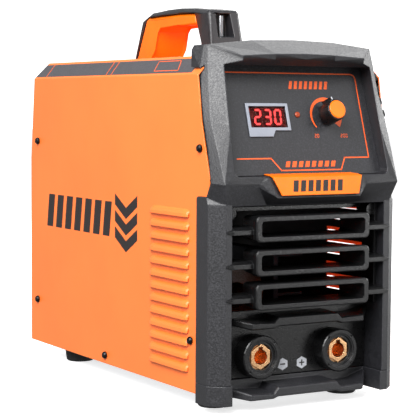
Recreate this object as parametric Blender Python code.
"""A stick welding inverter: folded steel cover, moulded front with visor and grille, two output sockets.

The front is at -Y, X is across and Z is up. Lengths are in metres. Y below is first measured from the
front pillars' face and then moved by SHIFT_Y, so that the origin is the middle of the footprint.
"""

import math

import bmesh
import bpy
from mathutils import Matrix, Vector

MM = 0.001
SHIFT_Y = -179.3 * MM
GAP = 0.3 * MM
ROUND = 24

# Cover
COVER_HALF = 92.7 * MM
COVER_BOTTOM = 15.0 * MM
COVER_FOLD = 279.6 * MM
COVER_TOP = 295.6 * MM
COVER_CHAMFER = 16.3 * MM
SHEET = 1.3 * MM
COVER_REAR = 364.8 * MM
LOUVRES = 13
LOUVRE_FIRST = 161.4 * MM
LOUVRE_PITCH = 10.8 * MM
LOUVRE_FRONT = 42.5 * MM
LOUVRE_REAR = 109.0 * MM
LOUVRE_OUT = 3.4 * MM
LOUVRE_TALL = 6.6 * MM
SCREW_SPOTS = ((24.8, 219.1), (38.6, 58.6), (196.5, 22.9), (347.3, 57.9), (347.0, 217.6))

# Front moulding
BEZEL_HALF = 94.0 * MM
PILLAR_INNER = 76.8 * MM
PILLAR_EDGE = 82.6 * MM
PILLAR_CORNER = 10.3 * MM
PILLAR_REAR = 28.6 * MM
PILLAR_TOP = 179.6 * MM
SEAM = 25.0 * MM
SILL_BOTTOM = 8.0 * MM
WINDOW_TOP = 288.0 * MM
WINDOW_SILL = 196.3 * MM
FRAME_SLOPE = 0.266
FRAME_Y = -4.6 * MM
FRAME_Z = 197.5 * MM
# The visor's side strip, in millimetres as (x, y, z) on the right: its front edge and its rear edge
STRIP_EDGE = (
    (87.0, -5.2, 190.0),
    (87.8, 5.2, 217.0),
    (88.7, 15.6, 242.0),
    (85.8, 24.0, 268.0),
    (84.3, 28.5, 289.0),
    (82.5, 31.2, 302.8),
)
STRIP_REAR = (
    (94.0, 5.8, 191.2),
    (93.0, 12.5, 216.0),
    (92.6, 21.0, 242.0),
    (90.0, 30.5, 270.0),
    (89.0, 33.5, 285.0),
)

# Control panel: its front face leans back by PANEL_SLOPE for each unit of height
PANEL_SLOPE = 0.32
PANEL_Y = 10.5 * MM
PANEL_Z = 210.0 * MM
PANEL_THICK = 2.0 * MM
KNOB_X = 30.0 * MM
KNOB_Z = 246.2 * MM
KNOB_RADIUS = 9.4 * MM
KNOB_LENGTH = 18.0 * MM
KNOB_POINTER = 22.0
LED_X = 0.4 * MM
LED_Z = 246.7 * MM
DISPLAY_X = -29.8 * MM
DISPLAY_Z = 244.6 * MM

# Grille and sockets
RING_Z = (153.2 * MM, 125.2 * MM, 97.2 * MM)
RING_HALF_X = 57.2 * MM
RING_HALF_Z = 10.9 * MM
RING_WALL = 4.2 * MM
RING_FRONT = -6.6 * MM
RING_REAR = 24.0 * MM
SOCKET_X = 39.7 * MM
SOCKET_Z = 44.0 * MM
SOCKET_FRONT = 10.5 * MM
SOCKET_RADIUS = 18.6 * MM
BORE_RADIUS = 6.5 * MM
HEX_CORNER = 10.7 * MM
PLATE_FRONT = 25.4 * MM

# Handle
HANDLE_HALF = 17.5 * MM

# Rear
REAR_Y = 352.0 * MM
FAN_Z = 120.0 * MM
FAN_HALF = 60.0 * MM
FAN_BORE = 56.0 * MM
FAN_FRONT = 318.0 * MM
FAN_BACK = 350.0 * MM
SWITCH_X = 48.0 * MM
SWITCH_Z = 240.0 * MM


# Pieces with so many coplanar cuts that the exact solver leaves folded edges
MANY_CUTS = ("front_bezel",)


def clear_scene():
    for item in list(bpy.data.objects):
        bpy.data.objects.remove(item, do_unlink=True)


def material(name, colour, roughness, metallic=0.0):
    """One Principled material; colour is linear RGB."""
    made = bpy.data.materials.get(name) or bpy.data.materials.new(name)
    made.use_nodes = True
    shader = made.node_tree.nodes["Principled BSDF"]
    shader.inputs["Base Color"].default_value = (*colour, 1.0)
    shader.inputs["Roughness"].default_value = roughness
    shader.inputs["Metallic"].default_value = metallic
    made.diffuse_color = (*colour, 1.0)
    return made


ORANGE_PAINT = ("orange_paint", (0.95, 0.33, 0.11), 0.38, 0.0)
ORANGE_PLASTIC = ("orange_plastic", (0.95, 0.20, 0.01), 0.42, 0.0)
GREY_PLASTIC = ("grey_plastic", (0.10, 0.105, 0.115), 0.55, 0.0)
BLACK_PLASTIC = ("black_plastic", (0.018, 0.018, 0.02), 0.42, 0.0)
RUBBER = ("rubber", (0.02, 0.02, 0.02), 0.85, 0.0)
BLACK_STEEL = ("black_steel", (0.03, 0.03, 0.03), 0.35, 0.8)
ZINC = ("zinc_steel", (0.55, 0.56, 0.58), 0.35, 1.0)
CHROME = ("chrome", (0.8, 0.8, 0.82), 0.12, 1.0)
COPPER = ("copper", (0.86, 0.42, 0.25), 0.28, 1.0)
ALUMINIUM = ("aluminium", (0.72, 0.73, 0.75), 0.38, 1.0)
BOARD_GREEN = ("board_green", (0.02, 0.16, 0.07), 0.5, 0.0)
DISPLAY_DARK = ("display_dark", (0.03, 0.012, 0.01), 0.3, 0.0)
SMOKED = ("smoked_window", (0.10, 0.02, 0.02), 0.08, 0.0)
PALE_GREY = ("pale_grey", (0.42, 0.43, 0.46), 0.5, 0.0)
LAMP = ("lamp_lens", (0.55, 0.09, 0.02), 0.25, 0.0)
VARNISH = ("varnish", (0.30, 0.15, 0.04), 0.4, 0.0)
SLEEVE = ("capacitor_sleeve", (0.02, 0.03, 0.07), 0.4, 0.0)


def finish(bm, name, look, smooth=0.0):
    """A new object from the bmesh; smooth is the sharp angle in degrees of round pieces, or 0."""
    bmesh.ops.recalc_face_normals(bm, faces=bm.faces)
    mesh = bpy.data.meshes.new(name)
    bm.to_mesh(mesh)
    bm.free()
    mesh.materials.append(material(*look))
    if smooth:
        mesh.shade_smooth()
        mesh.set_sharp_from_angle(angle=math.radians(smooth))
    item = bpy.data.objects.new(name, mesh)
    bpy.context.scene.collection.objects.link(item)
    return item


def axis_point(axis, across, up, along):
    """(across, up) lie in the plane square to the axis; along runs on it."""
    if axis == "x":
        return Vector((along, across, up))
    if axis == "y":
        return Vector((across, along, up))
    return Vector((across, up, along))


def prism(name, outline, axis, start, end, look):
    """An outline of (across, up) pairs swept along the axis."""
    bm = bmesh.new()
    near = [bm.verts.new(axis_point(axis, a, u, start)) for a, u in outline]
    far = [bm.verts.new(axis_point(axis, a, u, end)) for a, u in outline]
    bm.faces.new(near)
    bm.faces.new(far[::-1])
    count = len(outline)
    for i in range(count):
        j = (i + 1) % count
        bm.faces.new((near[i], far[i], far[j], near[j]))
    return finish(bm, name, look)


def box(name, x, y, z, look, round_by=0.0, segments=2):
    """A block between the pairs x, y and z, with its edges rounded if asked."""
    bm = bmesh.new()
    bmesh.ops.create_cube(bm, size=1.0)
    for vert in bm.verts:
        place = [pair[0] if c < 0 else pair[1] for c, pair in zip(vert.co, (x, y, z))]
        vert.co = place
    if round_by:
        bmesh.ops.bevel(
            bm,
            geom=bm.edges[:],
            offset=round_by,
            segments=segments,
            profile=0.5,
            affect="EDGES",
        )
    return finish(bm, name, look, 35.0 if round_by else 0.0)


def hull(name, points, look):
    bm = bmesh.new()
    for point in points:
        bm.verts.new(point)
    made = bmesh.ops.convex_hull(bm, input=bm.verts)
    spare = {v for v in made["geom_interior"] + made["geom_unused"] if isinstance(v, bmesh.types.BMVert)}
    bmesh.ops.delete(bm, geom=list(spare), context="VERTS")
    bmesh.ops.dissolve_limit(bm, angle_limit=0.001, verts=bm.verts, edges=bm.edges)
    return finish(bm, name, look)


def loft(name, rings, look, smooth=0.0, closed=False):
    """Rings of the same number of points joined in order, with end caps unless it closes on itself."""
    bm = bmesh.new()
    rows = [[bm.verts.new(point) for point in ring] for ring in rings]
    count = len(rows[0])
    pairs = list(zip(rows, rows[1:]))
    if closed:
        pairs.append((rows[-1], rows[0]))
    for near, far in pairs:
        for i in range(count):
            j = (i + 1) % count
            bm.faces.new((near[i], near[j], far[j], far[i]))
    if not closed:
        bm.faces.new(rows[0][::-1])
        bm.faces.new(rows[-1])
    return finish(bm, name, look, smooth)


def turned(name, profile, frame, look, steps=ROUND, smooth=35.0):
    """A closed (radius, along) profile turned about the frame's Z; radius 0 points lie on the axis."""
    bm = bmesh.new()
    columns = []
    for radius, along in profile:
        if radius < 1e-7:
            columns.append([bm.verts.new(frame @ Vector((0.0, 0.0, along)))])
            continue
        ring = []
        for k in range(steps):
            angle = 2.0 * math.pi * k / steps
            local = Vector((radius * math.cos(angle), radius * math.sin(angle), along))
            ring.append(bm.verts.new(frame @ local))
        columns.append(ring)
    count = len(columns)
    last = count if all(len(c) > 1 for c in columns) else count - 1
    for i in range(last):
        near = columns[i]
        far = columns[(i + 1) % count]
        for k in range(steps):
            m = (k + 1) % steps
            corners = [near[k % len(near)], near[m % len(near)], far[m % len(far)], far[k % len(far)]]
            face = list(dict.fromkeys(corners))
            if len(face) > 2:
                bm.faces.new(face)
    return finish(bm, name, look, smooth)


def combine(item, others, operation):
    """Applies a Boolean of each other object to the item and removes the others."""
    for other in others:
        step = item.modifiers.new("step", "BOOLEAN")
        step.operation = operation
        step.solver = "MANIFOLD" if item.name in MANY_CUTS else "EXACT"
        step.object = other
        graph = bpy.context.evaluated_depsgraph_get()
        mesh = bpy.data.meshes.new_from_object(item.evaluated_get(graph))
        item.modifiers.clear()
        item.data = mesh
        bpy.data.objects.remove(other, do_unlink=True)
    return item


def join(item, *others):
    return combine(item, others, "UNION")


def cut(item, *others):
    return combine(item, others, "DIFFERENCE")


def along_y(x, y, z):
    """A frame at (x, y, z) whose Z runs along +Y."""
    return Matrix.Translation((x, y, z)) @ Matrix.Rotation(math.radians(-90.0), 4, "X")


def along_x(x, y, z, side=1.0):
    """A frame at (x, y, z) whose Z runs along X, outwards on that side."""
    return Matrix.Translation((x, y, z)) @ Matrix.Rotation(math.radians(90.0) * side, 4, "Y")


def rod(name, frame, radius, start, end, look, steps=ROUND):
    return turned(name, ((0, start), (radius, start), (radius, end), (0, end)), frame, look, steps)


def tube(name, frame, outer, inner, start, end, look, steps=ROUND):
    profile = ((inner, start), (outer, start), (outer, end), (inner, end))
    return turned(name, profile, frame, look, steps)


def panel_y(z, depth=0.0):
    """Y of the control panel's face at height z, and depth behind it."""
    return PANEL_Y + PANEL_SLOPE * (z - PANEL_Z) + depth


def panel_frame(x, z):
    """A frame on the panel's face: Z straight out of it, X across, Y up its slope."""
    out = Vector((0.0, -1.0, PANEL_SLOPE)).normalized()
    across = Vector((1.0, 0.0, 0.0))
    rise = out.cross(across)
    turn = Matrix((across, rise, out)).transposed().to_4x4()
    return Matrix.Translation((x, panel_y(z), z)) @ turn


def panel_block(name, frame, x, y, z, look):
    """A block in the panel's own frame."""
    corners = [frame @ Vector((a, b, c)) for a in x for b in y for c in z]
    return hull(name, corners, look)


def rounded(half_x, half_z, radius, steps=4):
    """Outline of a rounded rectangle round the origin, as (x, z) pairs."""
    points = []
    for quarter in range(4):
        cx = (half_x - radius) * (1 if quarter in (0, 3) else -1)
        cz = (half_z - radius) * (1 if quarter in (0, 1) else -1)
        for k in range(steps + 1):
            angle = math.pi / 2 * (quarter + k / steps)
            points.append((cx + radius * math.cos(angle), cz + radius * math.sin(angle)))
    return points


# ---------------------------------------------------------------- cover


def cover_outline(inset):
    """Outer side of the folded sheet from the left bottom edge over to the right, moved in by inset."""
    half = COVER_HALF - inset
    top = COVER_TOP - inset
    flat = COVER_HALF - COVER_CHAMFER - inset * math.tan(math.radians(22.5))
    fold = COVER_FOLD - inset * math.tan(math.radians(22.5))
    return [
        (-half, COVER_BOTTOM),
        (-half, fold),
        (-flat, top),
        (flat, top),
        (half, fold),
        (half, COVER_BOTTOM),
    ]


def louvre_hood(side, slit_z):
    """One formed hood: the sheet pushed out and open along its lower edge, with rounded ends."""
    rings = []
    middle = (LOUVRE_FRONT + LOUVRE_REAR) / 2
    half = (LOUVRE_REAR - LOUVRE_FRONT) / 2
    for share in (-1.0, -0.95, -0.82, 0.82, 0.95, 1.0):
        swell = math.sqrt(max(0.0, 1.0 - max(0.0, (abs(share) - 0.82) / 0.19) ** 2))
        out = 0.25 * MM + LOUVRE_OUT * swell
        tall = LOUVRE_TALL * (0.55 + 0.45 * swell)
        base = COVER_HALF - 0.5 * SHEET
        y = middle + half * share
        wall = 1.0 * MM * min(1.0, 0.15 + swell)
        profile = [
            (base, slit_z + tall),
            (COVER_HALF + 0.1 * MM, slit_z + tall),
            (COVER_HALF + 0.62 * out, slit_z + 0.74 * tall),
            (COVER_HALF + 0.93 * out, slit_z + 0.42 * tall),
            (COVER_HALF + out, slit_z),
            (COVER_HALF + max(out - wall, 0.1 * MM), slit_z),
            (COVER_HALF + max(0.85 * out - wall, 0.08 * MM), slit_z + 0.38 * tall),
            (COVER_HALF + max(0.5 * out - wall, 0.05 * MM), slit_z + 0.62 * tall),
            (base, slit_z + 0.74 * tall),
        ]
        rings.append([(side * x, y, z) for x, z in profile])
    return loft("hood", rings, ORANGE_PAINT)


def ahead_of_cover(room):
    """Everything in front of the sheet's front edge, seen from the side, less a strip of room before it."""
    edge = (
        (29.2, 10.0),
        (29.2, 25.6),
        (26.0, 25.6),
        (26.0, 179.6),
        (14.2, 179.8),
        (10.2, 189.2),
        (9.8, 194.4),
        (20.6, 230.0),
        (24.0, 242.0),
        (30.6, 281.0),
        (32.5, 300.0),
    )
    outline = [(y * MM - room, z * MM) for y, z in edge]
    outline += [(-40.0 * MM, 300.0 * MM), (-40.0 * MM, 10.0 * MM)]
    return prism("ahead", outline, "x", -0.2, 0.2, ORANGE_PAINT)


def make_cover():
    outer = cover_outline(0.0)
    inner = cover_outline(SHEET)
    cover = prism("cover", outer + inner[::-1], "y", 6.0 * MM, COVER_REAR, ORANGE_PAINT)
    rear_line = (
        (365.0 * MM, 198.0 * MM),
        (356.9 * MM, 279.7 * MM),
        (356.4 * MM, 300.0 * MM),
        (380.0 * MM, 300.0 * MM),
        (380.0 * MM, 198.0 * MM),
    )
    rear_cut = prism("rear_cut", rear_line, "x", -0.2, 0.2, ORANGE_PAINT)
    cut(cover, ahead_of_cover(0.0), rear_cut)
    for side in (-1.0, 1.0):
        for row in range(LOUVRES):
            slit = LOUVRE_FIRST - row * LOUVRE_PITCH
            low = slit + 0.1 * MM
            high = slit + 0.5 * LOUVRE_TALL
            walls = (side * (COVER_HALF - 3.0 * MM), side * (COVER_HALF + 1.5 * MM))
            opening = box(
                "opening",
                (min(walls), max(walls)),
                (LOUVRE_FRONT + 7.5 * MM, LOUVRE_REAR - 3.0 * MM),
                (low - 0.4 * MM, high),
                ORANGE_PAINT,
            )
            cut(cover, opening)
        for row in range(LOUVRES):
            join(cover, louvre_hood(side, LOUVRE_FIRST - row * LOUVRE_PITCH))
        for y, z in SCREW_SPOTS:
            hole = rod(
                "hole",
                along_x(0, y * MM, z * MM),
                2.6 * MM,
                0.08 * side,
                0.1 * side,
                ORANGE_PAINT,
                12,
            )
            cut(cover, hole)
    return cover


def make_cover_screws():
    """Black button heads; each stem passes through the sheet."""
    for side, word in ((-1.0, "left"), (1.0, "right")):
        for number, (y, z) in enumerate(SCREW_SPOTS, 1):
            frame = along_x(side * COVER_HALF, y * MM, z * MM, side)
            head = 3.4 * MM
            profile = (
                (0, -4.0 * MM),
                (2.0 * MM, -4.0 * MM),
                (2.0 * MM, GAP),
                (head, GAP),
                (head, 1.6 * MM),
                (head * 0.7, 3.0 * MM),
                (0, 3.2 * MM),
            )
            turned(f"cover_screw_{word}_{number}", profile, frame, BLACK_STEEL, 10)


# ---------------------------------------------------------------- front moulding


def visor_solid():
    """Outer shape of the visor: a faceted peak over a sloping window frame and an undercut chin."""
    half = {
        "top": (-81.0, 30.0, 304.6),
        "top_in": (-41.0, 30.0, 308.9),
        "peak": (-61.0, 10.0, 295.2),
        "peak_in": (-30.0, 8.8, 297.0),
        "lip": (-61.0, 11.0, 291.0),
        "lip_in": (-30.0, 9.8, 292.4),
        "corner": (-74.2, 19.5, 288.0),
        "apex": (-75.6, 5.9, 237.0),
        "sill": (-77.3, -4.6, 197.5),
        "under": (-82.0, 0.5, 172.0),
        "cheek": (-91.8, 2.4, 190.6),
        "low": (-94.0, 12.8, 179.6),
        "flap_rear": (-90.5, 44.5, 286.0),
        "flap_top": (-90.3, 44.5, 300.0),
        "flap_edge": (-88.5, 43.5, 303.8),
        "shoulder": (-84.5, 34.5, 304.2),
        "back": (-82.0, 42.5, 303.8),
        "back_in": (-41.0, 43.0, 308.0),
    }
    half.update({f"edge_{k}": (-x, y, z) for k, (x, y, z) in enumerate(STRIP_EDGE)})
    half.update({f"rear_{k}": (-x, y, z) for k, (x, y, z) in enumerate(STRIP_REAR)})
    middle = {
        "top": (0.0, 30.0, 310.0),
        "peak": (0.0, 8.4, 297.6),
        "lip": (0.0, 9.4, 293.0),
        "back": (0.0, 43.5, 309.2),
    }
    bm = bmesh.new()
    left = {}
    right = {}
    for key, (x, y, z) in half.items():
        left[key] = bm.verts.new((x * MM, y * MM, z * MM))
        right[key] = bm.verts.new((-x * MM, y * MM, z * MM))
    centre = {key: bm.verts.new((x * MM, y * MM, z * MM)) for key, (x, y, z) in middle.items()}
    faces = (
        ("edge_5", "top", "peak"),
        ("edge_5", "peak", "lip"),
        ("edge_5", "lip", "corner"),
        ("edge_5", "corner", "edge_4"),
        ("edge_4", "corner", "edge_3"),
        ("corner", "apex", "edge_3"),
        ("apex", "edge_2", "edge_3"),
        ("apex", "edge_1", "edge_2"),
        ("apex", "edge_0", "edge_1"),
        ("apex", "sill", "edge_0"),
        ("edge_0", "under", "cheek"),
        ("cheek", "under", "low"),
        ("rear_0", "cheek", "low"),
        ("edge_0", "cheek", "rear_0"),
        ("edge_0", "rear_0", "rear_1"),
        ("edge_0", "rear_1", "edge_1"),
        ("edge_1", "rear_1", "rear_2"),
        ("edge_1", "rear_2", "edge_2"),
        ("edge_2", "rear_2", "rear_3"),
        ("edge_2", "rear_3", "edge_3"),
        ("edge_3", "rear_3", "rear_4"),
        ("edge_3", "rear_4", "edge_4"),
        ("edge_4", "rear_4", "shoulder"),
        ("edge_4", "shoulder", "edge_5"),
        ("rear_4", "flap_rear", "flap_top"),
        ("rear_4", "flap_top", "shoulder"),
        ("shoulder", "flap_top", "flap_edge"),
        ("edge_5", "shoulder", "top"),
        ("shoulder", "flap_edge", "back"),
        ("shoulder", "back", "top"),
        ("flap_edge", "flap_top", "back"),
        ("flap_top", "flap_rear", "back"),
        ("top", "back", "back_in"),
        ("top", "back_in", "top_in"),
        ("top", "top_in", "peak_in"),
        ("top", "peak_in", "peak"),
        ("peak", "peak_in", "lip_in"),
        ("peak", "lip_in", "lip"),
        ("lip", "lip_in", "corner"),
    )
    for names in faces:
        bm.faces.new([left[key] for key in names])
        bm.faces.new([right[key] for key in reversed(names)])
    for part in (left, right):
        bm.faces.new((part["top_in"], part["back_in"], centre["back"]))
        bm.faces.new((part["top_in"], centre["back"], centre["top"]))
        bm.faces.new((part["top_in"], centre["top"], centre["peak"]))
        bm.faces.new((part["top_in"], centre["peak"], part["peak_in"]))
        bm.faces.new((part["peak_in"], centre["peak"], centre["lip"]))
        bm.faces.new((part["peak_in"], centre["lip"], part["lip_in"]))
    across = (
        ("corner", "apex"),
        ("apex", "sill"),
        ("sill", "edge_0"),
        ("edge_0", "under"),
        ("under", "low"),
        ("low", "rear_0"),
        ("rear_0", "rear_1"),
        ("rear_1", "rear_2"),
        ("rear_2", "rear_3"),
        ("rear_3", "rear_4"),
        ("rear_4", "flap_rear"),
    )
    for a, b in across:
        bm.faces.new((left[a], left[b], right[b], right[a]))
    bm.faces.new((left["corner"], right["corner"], right["lip_in"], centre["lip"], left["lip_in"]))
    bm.faces.new(
        (left["flap_rear"], right["flap_rear"], right["back"], right["back_in"], centre["back"],
         left["back_in"], left["back"])
    )
    bmesh.ops.triangulate(bm, faces=bm.faces)
    return finish(bm, "front_bezel", GREY_PLASTIC)


def window_outline(grow, sill, top):
    """The window's outline seen square on, as (x, z) pairs: a little wider below, small corners."""
    low = 77.3 * MM + grow
    high = 74.2 * MM + grow
    radius = 5.0 * MM
    points = []
    for cx, cz, first in (
        (low - radius, sill + radius, -90.0),
        (high - 2.0 * MM, top - 2.0 * MM, 0.0),
    ):
        size = radius if first < 0 else 2.0 * MM
        for k in range(4):
            angle = math.radians(first + 30.0 * k)
            points.append((cx + size * math.cos(angle), cz + size * math.sin(angle)))
    return points + [(-x, z) for x, z in reversed(points)]


def frame_y(z):
    """Y of the window frame's sloping face at height z."""
    return FRAME_Y + FRAME_SLOPE * (z - FRAME_Z)


def window_tunnel(name, grow, sill, top, front, depth):
    """The window swept straight back, from front of the frame's face to depth behind the panel's face."""
    outline = window_outline(grow, sill, top)
    near = [(x, frame_y(z) + front, z) for x, z in outline]
    far = [(x, panel_y(z, depth), z) for x, z in outline]
    return loft(name, (near, far), GREY_PLASTIC)


def pillar(side):
    """One hollow pillar, open to the rear."""
    outer = [
        (side * BEZEL_HALF, PILLAR_REAR),
        (side * BEZEL_HALF, PILLAR_CORNER),
        (side * PILLAR_EDGE, 0.0),
        (side * PILLAR_INNER, 0.0),
        (side * PILLAR_INNER, PILLAR_REAR),
    ]
    made = prism("pillar", outer, "z", SEAM, 174.0 * MM, GREY_PLASTIC)
    wall = 3.2 * MM
    inner = [
        (side * (COVER_HALF + 0.4 * MM), PILLAR_REAR + 5.0 * MM),
        (side * (COVER_HALF + 0.4 * MM), 24.0 * MM),
        (side * (BEZEL_HALF - wall), 24.0 * MM),
        (side * (BEZEL_HALF - wall), PILLAR_CORNER + 2.0 * MM),
        (side * (PILLAR_EDGE - 1.0 * MM), wall),
        (side * (PILLAR_INNER + wall), wall),
        (side * (PILLAR_INNER + wall), PILLAR_REAR + 5.0 * MM),
    ]
    hollow = prism("hollow", inner, "z", SEAM - 5.0 * MM, 170.0 * MM, GREY_PLASTIC)
    return cut(made, hollow)


def pillar_cap(side):
    """The pillar's top, where its chamfer runs up to a point under the visor."""
    corners = [
        (side * 94.0, 28.6, 172.0),
        (side * 94.0, 28.6, 178.0),
        (side * 94.0, 27.0, 179.6),
        (side * 94.0, 12.8, 179.6),
        (side * 94.0, 10.8, 172.0),
        (side * 82.6, 0.2, 172.0),
        (side * 80.0, 6.0, 182.0),
        (side * 80.0, 28.6, 182.0),
        (side * 76.8, 28.6, 172.0),
        (side * 76.8, 0.2, 172.0),
    ]
    return hull("pillar_cap", [Vector(c) * MM for c in corners], GREY_PLASTIC)


def make_front_bezel():
    bezel = visor_solid()
    room = (
        (85.0 * MM, 4.5 * MM, 200.0 * MM),
        (74.5 * MM, 24.5 * MM, 291.5 * MM),
        (81.5 * MM, 34.0 * MM, 291.5 * MM),
        (73.5 * MM, 28.0 * MM, 301.0 * MM),
        (80.0 * MM, 36.0 * MM, 301.0 * MM),
        (81.0 * MM, 60.0 * MM, 301.0 * MM),
        (85.0 * MM, 60.0 * MM, 232.0 * MM),
        (85.0 * MM, 60.0 * MM, 176.0 * MM),
        (85.0 * MM, 8.5 * MM, 176.0 * MM),
        (85.0 * MM, 4.5 * MM, 187.0 * MM),
    )
    room_points = []
    for x, y, z in room:
        room_points += [(-x, y, z), (x, y, z)]
    cut(bezel, hull("room", room_points, GREY_PLASTIC))
    for side in (-1.0, 1.0):
        join(bezel, pillar_cap(side), pillar(side))
    tunnel = window_tunnel(
        "tunnel",
        2.6 * MM,
        WINDOW_SILL - 2.4 * MM,
        WINDOW_TOP + 2.4 * MM,
        2.4 * MM,
        -GAP,
    )
    join(bezel, chin_block(), tunnel)
    cut(bezel, window_tunnel("window", 0.0, WINDOW_SILL, WINDOW_TOP, -30.0 * MM, 1.0 * MM))
    for side in (-1.0, 1.0):
        corners = [
            (90.4, 13.0, 168.0),
            (90.0, 12.5, 216.0),
            (88.5, 19.5, 242.0),
            (85.5, 29.0, 278.0),
            (90.4, 46.0, 168.0),
            (87.0, 46.0, 278.0),
            (86.5, 13.0, 168.0),
            (86.2, 12.0, 216.0),
            (84.0, 18.0, 242.0),
            (80.0, 27.0, 278.0),
            (86.5, 46.0, 168.0),
            (81.5, 46.0, 278.0),
        ]
        skirt = hull("skirt", [Vector((side * x, y, z)) * MM for x, y, z in corners], GREY_PLASTIC)
        post_x = (side * 91.1 * MM, side * 79.0 * MM)
        post = box(
            "post",
            (min(post_x), max(post_x)),
            (22.0 * MM, 47.0 * MM),
            (40.0 * MM, 172.0 * MM),
            GREY_PLASTIC,
        )
        hollow_x = (side * 88.3 * MM, side * 60.0 * MM)
        post_room = box(
            "post_room",
            (min(hollow_x), max(hollow_x)),
            (29.0 * MM, 60.0 * MM),
            (30.0 * MM, 180.0 * MM),
            GREY_PLASTIC,
        )
        cut(post, post_room)
        join(bezel, skirt, post)
    bezel_grips(bezel)
    envelope = []
    for x, z in cover_outline(0.0):
        lift = 0.5 * MM if z > COVER_BOTTOM else -5.0 * MM
        envelope.append((x * 1.0055, z + lift))
    inner = [(x * 0.997, z - 0.4 * MM) for x, z in cover_outline(SHEET)]
    sheet_room = prism("sheet_room", envelope + inner[::-1], "y", -20.0 * MM, 80.0 * MM, GREY_PLASTIC)
    cut(bezel, cut(sheet_room, ahead_of_cover(0.6 * MM)))
    for side in (-1.0, 1.0):
        for y, z in SCREW_SPOTS[:2]:
            frame = along_x(0, y * MM, z * MM, side)
            cut(bezel, rod("bore", frame, 2.4 * MM, 0.07, 0.1, GREY_PLASTIC, 12))
    return bezel


def strip_at(line, z):
    """(x, y) of the side strip's front or rear edge at height z, in millimetres."""
    for (x0, y0, z0), (x1, y1, z1) in zip(line, line[1:]):
        if z <= z1:
            share = (z - z0) / (z1 - z0)
            return x0 + share * (x1 - x0), y0 + share * (y1 - y0)
    return line[-1][:2]


def bezel_grips(bezel):
    """Short raised grip bars across the visor's right side strip."""
    for row in range(4):
        corners = []
        for rise, out in ((0.0, 0.0), (1.4, 1.5), (5.6, 1.5), (7.0, 0.0)):
            z = 245.0 + 10.6 * row + rise
            front_x, front_y = strip_at(STRIP_EDGE, z)
            rear_x, rear_y = strip_at(STRIP_REAR, z)
            for share in (0.28, 0.86):
                x = front_x + share * (rear_x - front_x)
                y = front_y + share * (rear_y - front_y)
                corners.append((x + 0.9 * out, y - 0.5 * out, z))
                corners.append((x - 2.5, y + 1.0, z))
        join(bezel, hull("grip", [Vector(c) * MM for c in corners], GREY_PLASTIC))


def chin_block():
    """The raised middle of the chin, which carries the badge."""
    corners = []
    for side in (-1.0, 1.0):
        corners += [
            (side * 52.0, 2.0, 195.0),
            (side * 48.0, -8.4, 195.2),
            (side * 41.5, -13.4, 179.0),
            (side * 44.0, 1.6, 172.3),
            (side * 44.0, 5.0, 176.0),
            (side * 56.0, -4.0, 189.0),
        ]
    return hull("chin", [Vector(c) * MM for c in corners], GREY_PLASTIC)


def make_badge():
    front = []
    for side in (-1.0, 1.0):
        front += [
            (side * 44.9, -11.0, 196.2),
            (side * 44.9, -8.8, 196.2),
            (side * 38.6, -15.9, 181.0),
            (side * 38.6, -13.7, 181.0),
        ]
    plate = hull("badge_plate", [Vector(c) * MM for c in front], ORANGE_PLASTIC)
    shelf = []
    nose = []
    for side in (-1.0, 1.0):
        shelf += [
            (side * 43.9, 4.8, 196.65),
            (side * 43.9, 4.8, 198.2),
            (side * 44.6, -6.5, 196.65),
            (side * 44.6, -6.5, 197.3),
        ]
        nose += [
            (side * 44.5, -5.5, 196.65),
            (side * 44.5, -5.5, 197.35),
            (side * 44.9, -11.0, 196.2),
            (side * 44.9, -9.4, 195.6),
        ]
    for points in (nose, shelf):
        join(plate, hull("badge_top", [Vector(c) * MM for c in points], ORANGE_PLASTIC))
    return plate


def make_sill():
    """Lower moulding: a foot block under each pillar joined by the stepped ledge."""
    sill = box(
        "front_sill",
        (-76.0 * MM, 76.0 * MM),
        (26.0 * MM, 29.0 * MM),
        (11.0 * MM, 24.6 * MM),
        GREY_PLASTIC,
    )
    for side in (-1.0, 1.0):
        block = [
            (side * BEZEL_HALF, PILLAR_REAR),
            (side * BEZEL_HALF, PILLAR_CORNER),
            (side * PILLAR_EDGE, 0.0),
            (side * 75.4 * MM, 0.0),
            (side * 75.4 * MM, PILLAR_REAR),
        ]
        foot = prism("foot", block, "z", SILL_BOTTOM, SEAM - GAP, GREY_PLASTIC)
        hollow = [
            (side * 91.0 * MM, PILLAR_REAR - 3.0 * MM),
            (side * 91.0 * MM, 12.0 * MM),
            (side * 82.0 * MM, 4.0 * MM),
            (side * 78.6 * MM, 4.0 * MM),
            (side * 78.6 * MM, PILLAR_REAR - 3.0 * MM),
        ]
        cut(foot, prism("hollow", hollow, "z", SILL_BOTTOM - 5.0 * MM, SEAM - 3.0 * MM, GREY_PLASTIC))
        join(sill, foot)
    join(sill, ledge("ledge", 20.3, 15.2, 22.0, 10.2, 13.5))
    return sill


def ledge(name, middle_top, outer_top, end_top, low, end_low):
    """A stepped lip in millimetres: its middle stands forward, its ends sweep back and rise."""
    stations = (
        (-75.0, 22.0, end_top, end_low),
        (-56.5, 0.2, outer_top + 0.9, low),
        (-34.0, 0.2, outer_top, low),
        (-29.6, 0.2, middle_top, low + 1.6),
        (29.6, 0.2, middle_top, low + 1.6),
        (34.0, 0.2, outer_top, low),
        (56.5, 0.2, outer_top + 0.9, low),
        (75.0, 22.0, end_top, end_low),
    )
    rings = []
    for x, y, top, bottom in stations:
        section = (
            (x, y, bottom + 1.0),
            (x, y, top - 1.2),
            (x, y + 1.6, top),
            (x, 28.0, top + 0.6),
            (x, 28.0, bottom + 0.4),
            (x, y + 1.4, bottom),
        )
        rings.append([Vector(p) * MM for p in section])
    return loft(name, rings, GREY_PLASTIC)


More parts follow.
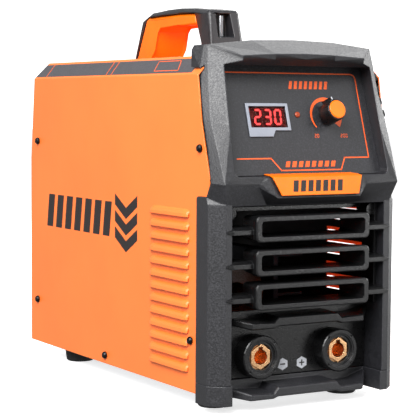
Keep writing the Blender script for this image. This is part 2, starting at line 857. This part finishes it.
def make_socket_plate():
    """Black plate behind the sockets, with the stepped shelf above it."""
    plate = box(
        "socket_plate",
        (-76.2 * MM, 76.2 * MM),
        (PLATE_FRONT, PLATE_FRONT + 3.0 * MM),
        (25.6 * MM, 82.0 * MM),
        BLACK_PLASTIC,
    )
    join(plate, ledge("shelf", 79.0, 74.6, 79.6, 69.4, 74.2))
    for side in (-1.0, 1.0):
        frame = along_y(side * SOCKET_X, 0, SOCKET_Z)
        cut(plate, rod("hole", frame, 14.0 * MM, 0.0, 0.05, BLACK_PLASTIC))
    return plate


def make_grille():
    """Three tube rings held by ribs on two side rails, with a round boss at each upper corner."""
    rail_x = (73.4 * MM, 76.4 * MM)
    grille = box(
        "front_grille",
        (-rail_x[1], -rail_x[0]),
        (9.0 * MM, 26.0 * MM),
        (84.0 * MM, 170.5 * MM),
        BLACK_PLASTIC,
    )
    right = box("rail", rail_x, (9.0 * MM, 26.0 * MM), (84.0 * MM, 170.5 * MM), BLACK_PLASTIC)
    cross = box(
        "cross",
        (-75.0 * MM, 75.0 * MM),
        (22.5 * MM, 26.0 * MM),
        (166.5 * MM, 170.0 * MM),
        BLACK_PLASTIC,
    )
    join(grille, cross, right)
    for side in (-1.0, 1.0):
        boss = rod(
            "boss",
            along_y(side * 71.0 * MM, 0, 165.4 * MM),
            5.0 * MM,
            11.0 * MM,
            25.4 * MM,
            BLACK_PLASTIC,
            16,
        )
        join(grille, boss)
    for z in RING_Z:
        for side in (-1.0, 1.0):
            join(grille, grille_rib(side, z - 2.4 * MM))
        join(grille, grille_ring(z))
        hole = [
            [(x, RING_FRONT - 5.0 * MM, z + up) for x, up in ring_outline(-RING_WALL, 1.0)],
            [(x, RING_REAR + 5.0 * MM, z + up) for x, up in ring_outline(-RING_WALL, 0.88)],
        ]
        cut(grille, loft("hole", hole, BLACK_PLASTIC))
    return grille


def ring_outline(grow, share):
    half_x = (RING_HALF_X + grow) * share
    half_z = (RING_HALF_Z + grow) * share
    return rounded(half_x, half_z, 4.4 * MM if grow == 0 else 2.6 * MM, 3)


def grille_ring(z):
    rings = []
    for y, grow, share in (
        (RING_FRONT, -0.9 * MM, 1.0),
        (RING_FRONT + 0.9 * MM, 0.0, 1.0),
        (RING_FRONT + 6.0 * MM, 0.0, 1.0),
        (RING_REAR, 0.0, 0.90),
    ):
        half_x = (RING_HALF_X + grow) * share
        half_z = (RING_HALF_Z + grow) * share
        rings.append([(x, y, z + up) for x, up in rounded(half_x, half_z, 4.2 * MM, 3)])
    return loft("ring", rings, BLACK_PLASTIC)


def grille_rib(side, z):
    """A rib from ring to pillar; its outer end lies pointed on the pillar's face."""
    section = ((-1.8, -2.1), (-1.8, 1.6), (1.4, 4.0), (21.0, 4.0), (21.0, -2.1))
    rings = []
    for x, share in ((49.0, 1.0), (76.3, 1.0)):
        rings.append([(side * x * MM, y * MM, z + up * MM) for y, up in section])
    rib = loft("rib", rings, BLACK_PLASTIC)
    tip = [
        (side * 76.0, -1.8, -2.1),
        (side * 76.0, -1.8, 1.6),
        (side * 76.0, -0.4, 2.8),
        (side * 76.0, -0.4, -2.1),
        (side * 82.0, -1.2, 0.6),
        (side * 82.0, -0.4, 0.9),
        (side * 82.0, -0.4, -0.9),
        (side * 82.0, -1.2, -0.8),
    ]
    point = hull("tip", [Vector((x * MM, y * MM, z + up * MM)) for x, y, up in tip], BLACK_PLASTIC)
    return join(rib, point)


# ---------------------------------------------------------------- controls


def make_panel():
    panel = panel_block(
        "control_panel",
        panel_frame(0, PANEL_Z),
        (-80.0 * MM, 80.0 * MM),
        (-14.0 * MM, 82.5 * MM),
        (-PANEL_THICK, 0.0),
        BLACK_PLASTIC,
    )
    knob = panel_frame(KNOB_X, KNOB_Z)
    lamp = panel_frame(LED_X, LED_Z)
    cut(
        panel,
        rod("hole", knob, 4.2 * MM, -5.0 * MM, 5.0 * MM, BLACK_PLASTIC, 16),
        rod("hole", lamp, 2.0 * MM, -5.0 * MM, 5.0 * MM, BLACK_PLASTIC, 16),
        panel_block(
            "window",
            panel_frame(DISPLAY_X, DISPLAY_Z),
            (-17.6 * MM, 17.6 * MM),
            (-8.6 * MM, 8.6 * MM),
            (-5.0 * MM, 5.0 * MM),
            BLACK_PLASTIC,
        ),
    )
    return panel


def make_display():
    frame = panel_frame(DISPLAY_X, DISPLAY_Z)
    outline = (
        (-20.8, 11.8),
        (20.8, 11.8),
        (20.8, -11.8),
        (5.0, -11.8),
        (2.0, -17.2),
        (-20.8, -17.2),
    )
    rings = []
    for depth in (GAP, 1.5 * MM):
        rings.append([frame @ Vector((x * MM, y * MM, depth)) for x, y in outline])
    border = loft("display_frame", rings, PALE_GREY)
    cut(
        border,
        panel_block(
            "opening",
            frame,
            (-18.4 * MM, 18.4 * MM),
            (-9.4 * MM, 9.4 * MM),
            (-1 * MM, 3 * MM),
            PALE_GREY,
        ),
    )
    panel_block(
        "display_window", frame, (-18.1 * MM, 18.1 * MM), (-9.1 * MM, 9.1 * MM), (GAP, 1.0 * MM), SMOKED
    )
    panel_block(
        "display_module",
        frame,
        (-17.2 * MM, 17.2 * MM),
        (-8.2 * MM, 8.2 * MM),
        (-8.0 * MM, -0.1 * MM),
        DISPLAY_DARK,
    )


def make_lamp():
    profile = (
        (0, -7.0 * MM),
        (1.7 * MM, -7.0 * MM),
        (1.7 * MM, GAP),
        (2.5 * MM, GAP),
        (2.5 * MM, 0.9 * MM),
        (1.8 * MM, 1.7 * MM),
        (0, 2.1 * MM),
    )
    turned("status_lamp", profile, panel_frame(LED_X, LED_Z), LAMP, 16)


def with_origin(item, origin):
    """Moves the object's origin to this point without moving its mesh."""
    item.data.transform(Matrix.Translation(-Vector(origin)))
    item.location = origin
    return item


def make_knob():
    frame = panel_frame(KNOB_X, KNOB_Z)
    low = 2.6 * MM
    body = turned(
        "current_knob",
        (
            (0, low + 2.0 * MM),
            (KNOB_RADIUS - 1.4 * MM, low + 2.0 * MM),
            (KNOB_RADIUS - 1.4 * MM, low),
            (KNOB_RADIUS, low),
            (KNOB_RADIUS - 0.3 * MM, KNOB_LENGTH - 1.0 * MM),
            (KNOB_RADIUS - 1.1 * MM, KNOB_LENGTH),
            (0, KNOB_LENGTH),
        ),
        frame,
        BLACK_PLASTIC,
    )
    turn = frame @ Matrix.Rotation(math.radians(KNOB_POINTER), 4, "Z")
    rib = panel_block(
        "rib",
        turn,
        (-1.5 * MM, 1.5 * MM),
        (KNOB_RADIUS - 2.0 * MM, KNOB_RADIUS + 2.6 * MM),
        (low + 2.5 * MM, KNOB_LENGTH - 0.2 * MM),
        BLACK_PLASTIC,
    )
    join(body, rib)
    cut(
        body,
        rod("shaft_hole", frame, 3.2 * MM, 0.0, 13.0 * MM, BLACK_PLASTIC, 16),
        rod("cap_seat", frame, 8.25 * MM, KNOB_LENGTH - 1.2 * MM, KNOB_LENGTH + 5 * MM, BLACK_PLASTIC, 32),
    )
    cap = turned(
        "knob_cap",
        (
            (0, KNOB_LENGTH - 0.9 * MM),
            (8.0 * MM, KNOB_LENGTH - 0.9 * MM),
            (8.0 * MM, KNOB_LENGTH + 0.3 * MM),
            (7.2 * MM, KNOB_LENGTH + 0.8 * MM),
            (0, KNOB_LENGTH + 0.9 * MM),
        ),
        frame,
        ORANGE_PLASTIC,
    )
    tube("knob_collar", frame, 6.6 * MM, 4.9 * MM, GAP, 2.4 * MM, CHROME, 24)
    pot = turned(
        "potentiometer",
        (
            (3.3 * MM, -12.0 * MM),
            (8.2 * MM, -12.0 * MM),
            (8.2 * MM, -2.3 * MM),
            (3.9 * MM, -2.3 * MM),
            (3.9 * MM, 2.2 * MM),
            (3.3 * MM, 2.2 * MM),
        ),
        frame,
        ZINC,
        16,
    )
    shaft = rod("pot_shaft", frame, 2.9 * MM, -10.0 * MM, 12.7 * MM, ZINC, 16)
    origin = frame.translation
    for item in (body, cap, shaft):
        with_origin(item, origin)
    return pot


def make_control_board():
    return panel_block(
        "control_board",
        panel_frame(0, PANEL_Z),
        (-60.0 * MM, 60.0 * MM),
        (6.0 * MM, 66.0 * MM),
        (-15.0 * MM, -13.4 * MM),
        BOARD_GREEN,
    )


def make_sockets():
    for side, word in ((-1.0, "negative"), (1.0, "positive")):
        frame = along_y(side * SOCKET_X, 0, SOCKET_Z)
        rim = SOCKET_FRONT
        shell = turned(
            f"socket_shell_{word}",
            (
                (11.2 * MM, 48.0 * MM),
                (11.2 * MM, rim + 2.6 * MM),
                (13.6 * MM, rim + 2.6 * MM),
                (13.6 * MM, rim + 0.8 * MM),
                (14.8 * MM, rim + 0.8 * MM),
                (14.8 * MM, rim),
                (SOCKET_RADIUS - 0.9 * MM, rim),
                (SOCKET_RADIUS, rim + 0.9 * MM),
                (SOCKET_RADIUS, PLATE_FRONT - GAP),
                (13.6 * MM, PLATE_FRONT - GAP),
                (13.6 * MM, 48.0 * MM),
            ),
            frame,
            BLACK_PLASTIC,
        )
        for k in range(4):
            turn = frame @ Matrix.Rotation(math.radians(45.0 + 90.0 * k), 4, "Z")
            notch = panel_block(
                "notch",
                turn,
                (-1.1 * MM, 1.1 * MM),
                (15.9 * MM, 17.2 * MM),
                (rim - 2 * MM, rim + 1.2 * MM),
                BLACK_PLASTIC,
            )
            cut(shell, notch)
        make_insert(f"socket_insert_{word}", frame, side)


def make_insert(name, frame, side):
    """Copper alloy bush: hexagonal front, bore with the keyway above it, threaded stud behind."""
    front = SOCKET_FRONT + 3.0 * MM
    bolt = rod(name, frame, 10.8 * MM, front + 2.0 * MM, 46.0 * MM, COPPER, 24)
    hexagon = []
    for depth in (front, front + 6.0 * MM):
        hexagon.append(
            [
                frame @ Matrix.Rotation(math.radians(60 * k + 30), 4, "Z") @ Vector(
                    (
                        HEX_CORNER,
                        0.0,
                        depth,
                    )
                )
                for k in range(6)
            ]
        )
    join(bolt, loft("hexagon", hexagon, COPPER))
    join(bolt, rod("stud", frame, 5.0 * MM, 45.0 * MM, 58.0 * MM, COPPER, 16))
    cut(bolt, rod("bore", frame, BORE_RADIUS, 0.0, 42.0 * MM, COPPER, 20))
    key = panel_block(
        "key", frame, (-2.0 * MM, 2.0 * MM), (-8.6 * MM, 0.0), (front - 5 * MM, front + 20.0 * MM), COPPER
    )
    cut(bolt, key)
    return bolt


# ---------------------------------------------------------------- handle


def handle_outline():
    """Outer side outline of the arched handle, as (y, z) pairs in millimetres."""
    return (
        (132.5, 296.2),
        (142.6, 338.0),
        (144.4, 341.2),
        (168.0, 343.7),
        (196.0, 345.0),
        (221.0, 344.8),
        (239.0, 343.8),
        (251.5, 343.2),
        (262.5, 339.4),
        (269.4, 336.8),
        (285.4, 300.5),
        (286.8, 296.2),
    )


def rounded_sweep(name, outline, half, soft, look):
    """An outline in the YZ plane swept across X, its two long edges cut back by soft."""
    centre = Vector((sum(y for y, _ in outline), sum(z for _, z in outline))) / len(outline)
    rings = []
    for x, inset in ((-half, soft), (-half + soft, 0.0), (half - soft, 0.0), (half, soft)):
        ring = []
        count = len(outline)
        for i, (y, z) in enumerate(outline):
            before = Vector(outline[i - 1])
            after = Vector(outline[(i + 1) % count])
            here = Vector((y, z))
            into = ((here - before).normalized() - (after - here).normalized())
            side = (after - before).normalized()
            normal = Vector((-side.y, side.x))
            if normal.dot(centre - here) < 0:
                normal.negate()
            moved = here + normal * inset
            if z < 297.0:
                moved.y = z
            ring.append(Vector((x, moved.x, moved.y)) * MM)
        rings.append(ring)
    return loft(name, rings, look)


def make_handle():
    """Grey arch with a pocket at each end for its screws, and an orange grip seated inside it."""
    shell = rounded_sweep("handle_shell", handle_outline(), 17.5, 3.6, GREY_PLASTIC)
    inside = (
        (149.4, 290.0),
        (150.3, 296.0),
        (154.3, 311.8),
        (166.0, 338.6),
        (196.0, 339.8),
        (239.0, 339.1),
        (258.0, 338.8),
        (261.0, 336.8),
        (281.4, 299.4),
        (284.0, 290.0),
    )
    cut(shell, prism("seat", [(y * MM, z * MM) for y, z in inside], "x", -0.05, 0.05, GREY_PLASTIC))
    spine = (
        (258.0, 290.0),
        (282.5, 290.0),
        (262.0, 340.5),
        (196.0, 341.5),
        (163.0, 340.5),
        (163.0, 334.0),
        (240.0, 334.0),
    )
    join(
        shell,
        prism("spine", [(y * MM, z * MM) for y, z in spine], "x", -7.0 * MM, 7.0 * MM, GREY_PLASTIC),
    )
    cut(shell, box("trim", (-0.05, 0.05), (0.1, 0.4), (0.28, 296.2 * MM), GREY_PLASTIC))
    pocket = [
        (-8.5, 120.0, 341.0 - 3.0),
        (6.5, 120.0, 338.0),
        (8.5, 120.0, 316.6),
        (-8.5, 120.0, 316.6),
    ]
    deep = [(x, 152.0, z) for x, y, z in pocket]
    rings = [[Vector(p) * MM for p in ring] for ring in (pocket, deep)]
    cut(shell, loft("pocket", rings, GREY_PLASTIC))
    grip_outline = (
        (251.5, 296.3),
        (244.0, 308.0),
        (238.5, 325.0),
        (232.0, 330.2),
        (196.0, 331.4),
        (163.4, 327.6),
        (165.9, 338.3),
        (196.0, 339.5),
        (239.0, 338.8),
        (257.9, 338.4),
        (260.7, 336.5),
        (280.6, 300.0),
        (281.8, 296.3),
    )
    grip = rounded_sweep("handle_grip", grip_outline, 17.2, 2.6, ORANGE_PLASTIC)
    groove = (
        (257.5, 280.0),
        (283.5, 280.0),
        (283.5, 296.0),
        (262.5, 345.0),
        (150.0, 345.0),
        (150.0, 333.6),
        (239.6, 333.6),
    )
    cut(
        grip,
        prism("groove", [(y * MM, z * MM) for y, z in groove], "x", -7.3 * MM, 7.3 * MM, ORANGE_PLASTIC),
    )
    screw = rod(
        "handle_screw",
        Matrix.Translation((-1.0 * MM, 146.5 * MM, 0)),
        2.6 * MM,
        317.0 * MM,
        336.0 * MM,
        ZINC,
        12,
    )
    return shell, grip, screw


# ---------------------------------------------------------------- chassis and rear


def make_base():
    """Folded floor tray with side flanges for the lower cover screws."""
    half = COVER_HALF - SHEET - GAP
    low = 16.0 * MM
    outline = (
        (-half, low),
        (-half, 34.0 * MM),
        (-half + SHEET, 34.0 * MM),
        (-half + SHEET, low + SHEET),
        (half - SHEET, low + SHEET),
        (half - SHEET, 34.0 * MM),
        (half, 34.0 * MM),
        (half, low),
    )
    tray = prism("base_tray", outline, "y", 48.0 * MM, REAR_Y - GAP, ZINC)
    floor = box("floor", (-74.0 * MM, 74.0 * MM), (29.6 * MM, 50.0 * MM), (low, low + SHEET), ZINC)
    join(tray, floor)
    for side in (-1.0, 1.0):
        frame = along_x(0, SCREW_SPOTS[2][0] * MM, SCREW_SPOTS[2][1] * MM, side)
        cut(tray, rod("bore", frame, 2.4 * MM, 0.07, 0.1, ZINC, 12))
    return tray


def make_feet():
    """Round tapered rubber feet with a recessed stud head."""
    for end, y in (("front", 46.0), ("rear", 306.0)):
        for side, word in ((-1.0, "left"), (1.0, "right")):
            frame = Matrix.Translation((side * 66.0 * MM, y * MM, 0))
            profile = (
                (0, 3.0 * MM),
                (4.0 * MM, 3.0 * MM),
                (4.0 * MM, 0),
                (12.5 * MM, 0),
                (13.5 * MM, 1.2 * MM),
                (15.5 * MM, 14.4 * MM),
                (14.9 * MM, 15.7 * MM),
                (0, 15.7 * MM),
            )
            turned(f"foot_{end}_{word}", profile, frame, RUBBER, 16)


def make_rear_panel():
    """Plastic rear panel with a raised rim, a fan opening and cut-outs for switch, gland and stud."""
    rim = cover_outline(SHEET + GAP + 0.1 * MM)
    rim[0] = (rim[0][0], 17.0 * MM)
    rim[-1] = (rim[-1][0], 17.0 * MM)
    panel = prism("rear_panel", rim, "y", REAR_Y, REAR_Y + 4.0 * MM, BLACK_PLASTIC)
    fan = along_y(0, 0, FAN_Z)
    cut(
        panel,
        rod("fan_hole", fan, FAN_BORE, 0.3, 0.4, BLACK_PLASTIC, 36),
        box(
            "switch_hole",
            (SWITCH_X - 10.7 * MM, SWITCH_X + 10.7 * MM),
            (0.3, 0.4),
            (SWITCH_Z - 14.3 * MM, SWITCH_Z + 14.3 * MM),
            BLACK_PLASTIC,
        ),
        rod("gland_hole", along_y(-48.0 * MM, 0, SWITCH_Z), 9.2 * MM, 0.3, 0.4, BLACK_PLASTIC),
        rod("stud_hole", along_y(70.0 * MM, 0, 34.0 * MM), 3.4 * MM, 0.3, 0.4, BLACK_PLASTIC, 16),
    )
    return panel


def make_fan():
    axis = along_y(0, 0, FAN_Z)
    corner = 6.0 * MM
    frame = prism(
        "fan_frame",
        [(x, FAN_Z + z) for x, z in rounded(FAN_HALF, FAN_HALF, corner, 2)],
        "y",
        FAN_FRONT,
        FAN_BACK,
        BLACK_PLASTIC,
    )
    cut(frame, rod("bore", axis, FAN_BORE, 0.2, 0.4, BLACK_PLASTIC, 36))
    hub = rod("hub", axis, 19.0 * MM, FAN_FRONT + 1.0 * MM, FAN_FRONT + 5.0 * MM, BLACK_PLASTIC)
    for k in range(4):
        turn = axis @ Matrix.Rotation(math.radians(20.0 + 90.0 * k), 4, "Z")
        strut = panel_block(
            "strut",
            turn,
            (-2.0 * MM, 2.0 * MM),
            (15.0 * MM, 57.5 * MM),
            (FAN_FRONT + 1.2 * MM, FAN_FRONT + 4.8 * MM),
            BLACK_PLASTIC,
        )
        join(hub, strut)
    join(frame, hub)
    rotor = turned(
        "fan_rotor",
        (
            (0, FAN_FRONT + 7.0 * MM),
            (19.5 * MM, FAN_FRONT + 7.0 * MM),
            (19.5 * MM, FAN_BACK - 3.5 * MM),
            (18.0 * MM, FAN_BACK - 2.0 * MM),
            (0, FAN_BACK - 2.0 * MM),
        ),
        axis,
        BLACK_PLASTIC,
    )
    for k in range(7):
        join(rotor, fan_blade(axis, 2.0 * math.pi * k / 7))
    with_origin(rotor, (0.0, (FAN_FRONT + FAN_BACK) / 2, FAN_Z))
    make_fan_guard(axis)


def fan_blade(axis, angle):
    """A twisted blade from the hub to just inside the bore."""
    rings = []
    for radius, pitch in ((17.0, 46.0), (30.0, 38.0), (42.0, 31.0), (53.5, 26.0)):
        half = (11.0 + 0.18 * radius) * MM
        lean = math.radians(pitch)
        sweep = angle + 0.004 * (radius - 17.0)
        out = Vector((math.cos(sweep), math.sin(sweep), 0.0))
        side = Vector((-math.sin(sweep), math.cos(sweep), 0.0))
        along = side * math.cos(lean) + Vector((0, 0, 1)) * math.sin(lean)
        thick = Vector((0, 0, 1)) * math.cos(lean) - side * math.sin(lean)
        middle = out * radius * MM + Vector((0, 0, (FAN_FRONT + FAN_BACK) / 2 + 2.6 * MM))
        ring = []
        for a, t in ((-1.0, 0.0), (-0.4, 1.1), (1.0, 0.3), (1.0, -0.3), (-0.4, -0.5)):
            ring.append(axis @ (middle + along * half * a * 0.62 + thick * t * MM))
        rings.append(ring)
    return loft("blade", rings, BLACK_PLASTIC)


def make_fan_guard(axis):
    """Wire guard behind the rear panel: rings on four bars with screw lugs."""
    y = REAR_Y + 4.0 * MM
    guard = None
    for radius in (14.0, 28.0, 42.0, 55.0):
        profile = []
        for k in range(4):
            angle = math.pi / 2 * k + 0.7
            profile.append(
                (
                    (radius + 0.95 * math.cos(angle)) * MM,
                    y + (2.6 + 0.95 * math.sin(angle)) * MM,
                )
            )
        ring = turned("fan_guard", profile, axis, CHROME, 24, 60.0)
        guard = ring if guard is None else guard
        if ring is not guard:
            ring.name = "ring"
            guard = merge_later(guard, ring)
    for k in range(4):
        turn = axis @ Matrix.Rotation(math.radians(45.0 + 90.0 * k), 4, "Z")
        bar = panel_block(
            "bar",
            turn,
            (-1.0 * MM, 1.0 * MM),
            (0.2 * MM, 74.0 * MM),
            (y + 1.0 * MM, y + 2.7 * MM),
            CHROME,
        )
        if k == 0:
            bars = bar
        else:
            join(bars, bar)
    lug_height = (y + GAP, y + 1.8 * MM)
    for k in range(4):
        turn = axis @ Matrix.Rotation(math.radians(45.0 + 90.0 * k), 4, "Z")
        join(
            bars,
            rod("lug", turn @ Matrix.Translation((0, 74.0 * MM, 0)), 4.2 * MM, *lug_height, CHROME, 12),
        )
    join(bars, rod("hub", axis, 6.0 * MM, y + 0.8 * MM, y + 2.4 * MM, CHROME, 16))
    join(bars, guard)
    bars.name = "fan_guard"
    return bars


def merge_later(first, second):
    """Puts two meshes that don't touch into one object, for a Boolean that joins both to a third."""
    bm = bmesh.new()
    bm.from_mesh(first.data)
    bm.from_mesh(second.data)
    bm.to_mesh(first.data)
    bm.free()
    bpy.data.objects.remove(second, do_unlink=True)
    return first


def make_rear_fittings():
    y = REAR_Y + 4.0 * MM
    body = box(
        "power_switch_body",
        (SWITCH_X - 12.5 * MM, SWITCH_X + 12.5 * MM),
        (y + GAP, y + 2.4 * MM),
        (SWITCH_Z - 16.5 * MM, SWITCH_Z + 16.5 * MM),
        BLACK_PLASTIC,
    )
    neck = box(
        "neck",
        (SWITCH_X - 10.4 * MM, SWITCH_X + 10.4 * MM),
        (y - 26.0 * MM, y + 1.0 * MM),
        (SWITCH_Z - 14.0 * MM, SWITCH_Z + 14.0 * MM),
        BLACK_PLASTIC,
    )
    join(body, neck)
    cut(
        body,
        box(
            "well",
            (SWITCH_X - 8.6 * MM, SWITCH_X + 8.6 * MM),
            (y - 11.0 * MM, y + 9.0 * MM),
            (SWITCH_Z - 12.4 * MM, SWITCH_Z + 12.4 * MM),
            BLACK_PLASTIC,
        ),
    )
    rocker = rocker_solid(y)
    with_origin(rocker, (SWITCH_X, y - 2.0 * MM, SWITCH_Z))
    gland = turned(
        "cable_gland",
        (
            (5.2 * MM, y - 16.0 * MM),
            (8.8 * MM, y - 16.0 * MM),
            (8.8 * MM, y + GAP),
            (12.5 * MM, y + GAP),
            (12.5 * MM, y + 6.0 * MM),
            (10.8 * MM, y + 7.0 * MM),
            (10.8 * MM, y + 15.0 * MM),
            (8.6 * MM, y + 18.5 * MM),
            (5.2 * MM, y + 18.5 * MM),
        ),
        along_y(-48.0 * MM, 0, SWITCH_Z),
        BLACK_PLASTIC,
        20,
    )
    stud = turned(
        "earth_stud",
        (
            (0, y - 12.0 * MM),
            (3.0 * MM, y - 12.0 * MM),
            (3.0 * MM, y + GAP),
            (7.2 * MM, y + GAP),
            (7.2 * MM, y + 5.2 * MM),
            (3.0 * MM, y + 5.2 * MM),
            (3.0 * MM, y + 12.0 * MM),
            (0, y + 12.0 * MM),
        ),
        along_y(70.0 * MM, 0, 34.0 * MM),
        ZINC,
        12,
    )
    return gland, stud


def rocker_solid(y):
    """A rocker with two sloping faces, the lower one pressed in."""
    profile = (
        (-7.5, -6.0),
        (-7.5, 6.0),
        (-1.2, 10.7),
        (3.4, 11.0),
        (1.5, 0.0),
        (-0.6, -11.2),
        (-3.4, -10.8),
    )
    outline = [(y + a * MM, SWITCH_Z + b * MM) for a, b in profile]
    return prism(
        "power_switch_rocker",
        outline,
        "x",
        SWITCH_X - 8.1 * MM,
        SWITCH_X + 8.1 * MM,
        BLACK_PLASTIC,
    )


# ---------------------------------------------------------------- insides


def make_insides():
    low = 17.3 * MM
    power_board = box(
        "power_board",
        (-74.0 * MM, 74.0 * MM),
        (74.0 * MM, 300.0 * MM),
        (34.0 * MM, 35.8 * MM),
        BOARD_GREEN,
    )
    for x in (-66.0, 66.0):
        for y in (82.0, 292.0):
            join(
                power_board,
                rod(
                    "post",
                    Matrix.Translation((x * MM, y * MM, 0)),
                    3.0 * MM,
                    low + GAP,
                    35.0 * MM,
                    BOARD_GREEN,
                    10,
                ),
            )
    for side, word in ((-1.0, "left"), (1.0, "right")):
        heatsink(f"heatsink_{word}", side)
    core = box(
        "transformer",
        (-34.0 * MM, 34.0 * MM),
        (214.0 * MM, 262.0 * MM),
        (36.2 * MM, 96.0 * MM),
        VARNISH,
        3.0 * MM,
        2,
    )
    join(
        core,
        box(
            "coil",
            (-26.0 * MM, 26.0 * MM),
            (206.0 * MM, 270.0 * MM),
            (50.0 * MM, 84.0 * MM),
            VARNISH,
            6.0 * MM,
            2,
        ),
    )
    choke = tube(
        "output_choke",
        along_y(0, 0, 82.0 * MM),
        30.0 * MM,
        12.0 * MM,
        118.0 * MM,
        150.0 * MM,
        VARNISH,
    )
    join(
        choke,
        box("foot", (-20.0 * MM, 20.0 * MM), (122.0 * MM, 146.0 * MM), (36.2 * MM, 60.0 * MM), VARNISH),
    )
    for side, word in ((-1.0, "left"), (1.0, "right")):
        frame = Matrix.Translation((side * 20.0 * MM, 182.0 * MM, 0))
        rod(f"capacitor_{word}", frame, 16.0 * MM, 36.2 * MM, 96.0 * MM, SLEEVE)
    for side, word in ((-1.0, "negative"), (1.0, "positive")):
        x = side * SOCKET_X
        bar = box(
            f"busbar_{word}",
            (x - 9.0 * MM, x + 9.0 * MM),
            (48.6 * MM, 51.6 * MM),
            (36.2 * MM, 62.0 * MM),
            COPPER,
        )
        foot = box(
            "foot",
            (x - 9.0 * MM, x + 9.0 * MM),
            (50.0 * MM, 100.0 * MM),
            (36.2 * MM, 39.2 * MM),
            COPPER,
        )
        join(bar, foot)
        cut(bar, rod("hole", along_y(x, 0, SOCKET_Z), 5.4 * MM, 0.04, 0.06, COPPER, 16))


def heatsink(name, side):
    """Upright finned extrusion beside the transformer."""
    inner = 42.0
    outline = [(inner, 36.2), (inner, 120.0), (inner + 5.0, 120.0)]
    fins = 7
    for k in range(fins):
        z = 117.0 - k * 12.0
        outline += [(inner + 5.0, z), (inner + 32.0, z), (inner + 32.0, z - 2.4), (inner + 5.0, z - 2.4)]
    outline.append((inner + 5.0, 36.2))
    points = [(side * x * MM, z * MM) for x, z in outline]
    return prism(name, points, "y", 120.0 * MM, 290.0 * MM, ALUMINIUM)


def settle():
    """Moves everything so that the origin is the middle of the footprint."""
    for item in bpy.context.scene.collection.objects:
        item.location.y += SHIFT_Y


def main():
    clear_scene()
    make_cover()
    make_cover_screws()
    make_front_bezel()
    make_badge()
    make_sill()
    make_socket_plate()
    make_grille()
    make_panel()
    make_display()
    make_lamp()
    make_knob()
    make_control_board()
    make_sockets()
    make_handle()
    make_base()
    make_feet()
    make_rear_panel()
    make_fan()
    make_rear_fittings()
    make_insides()
    settle()


main()
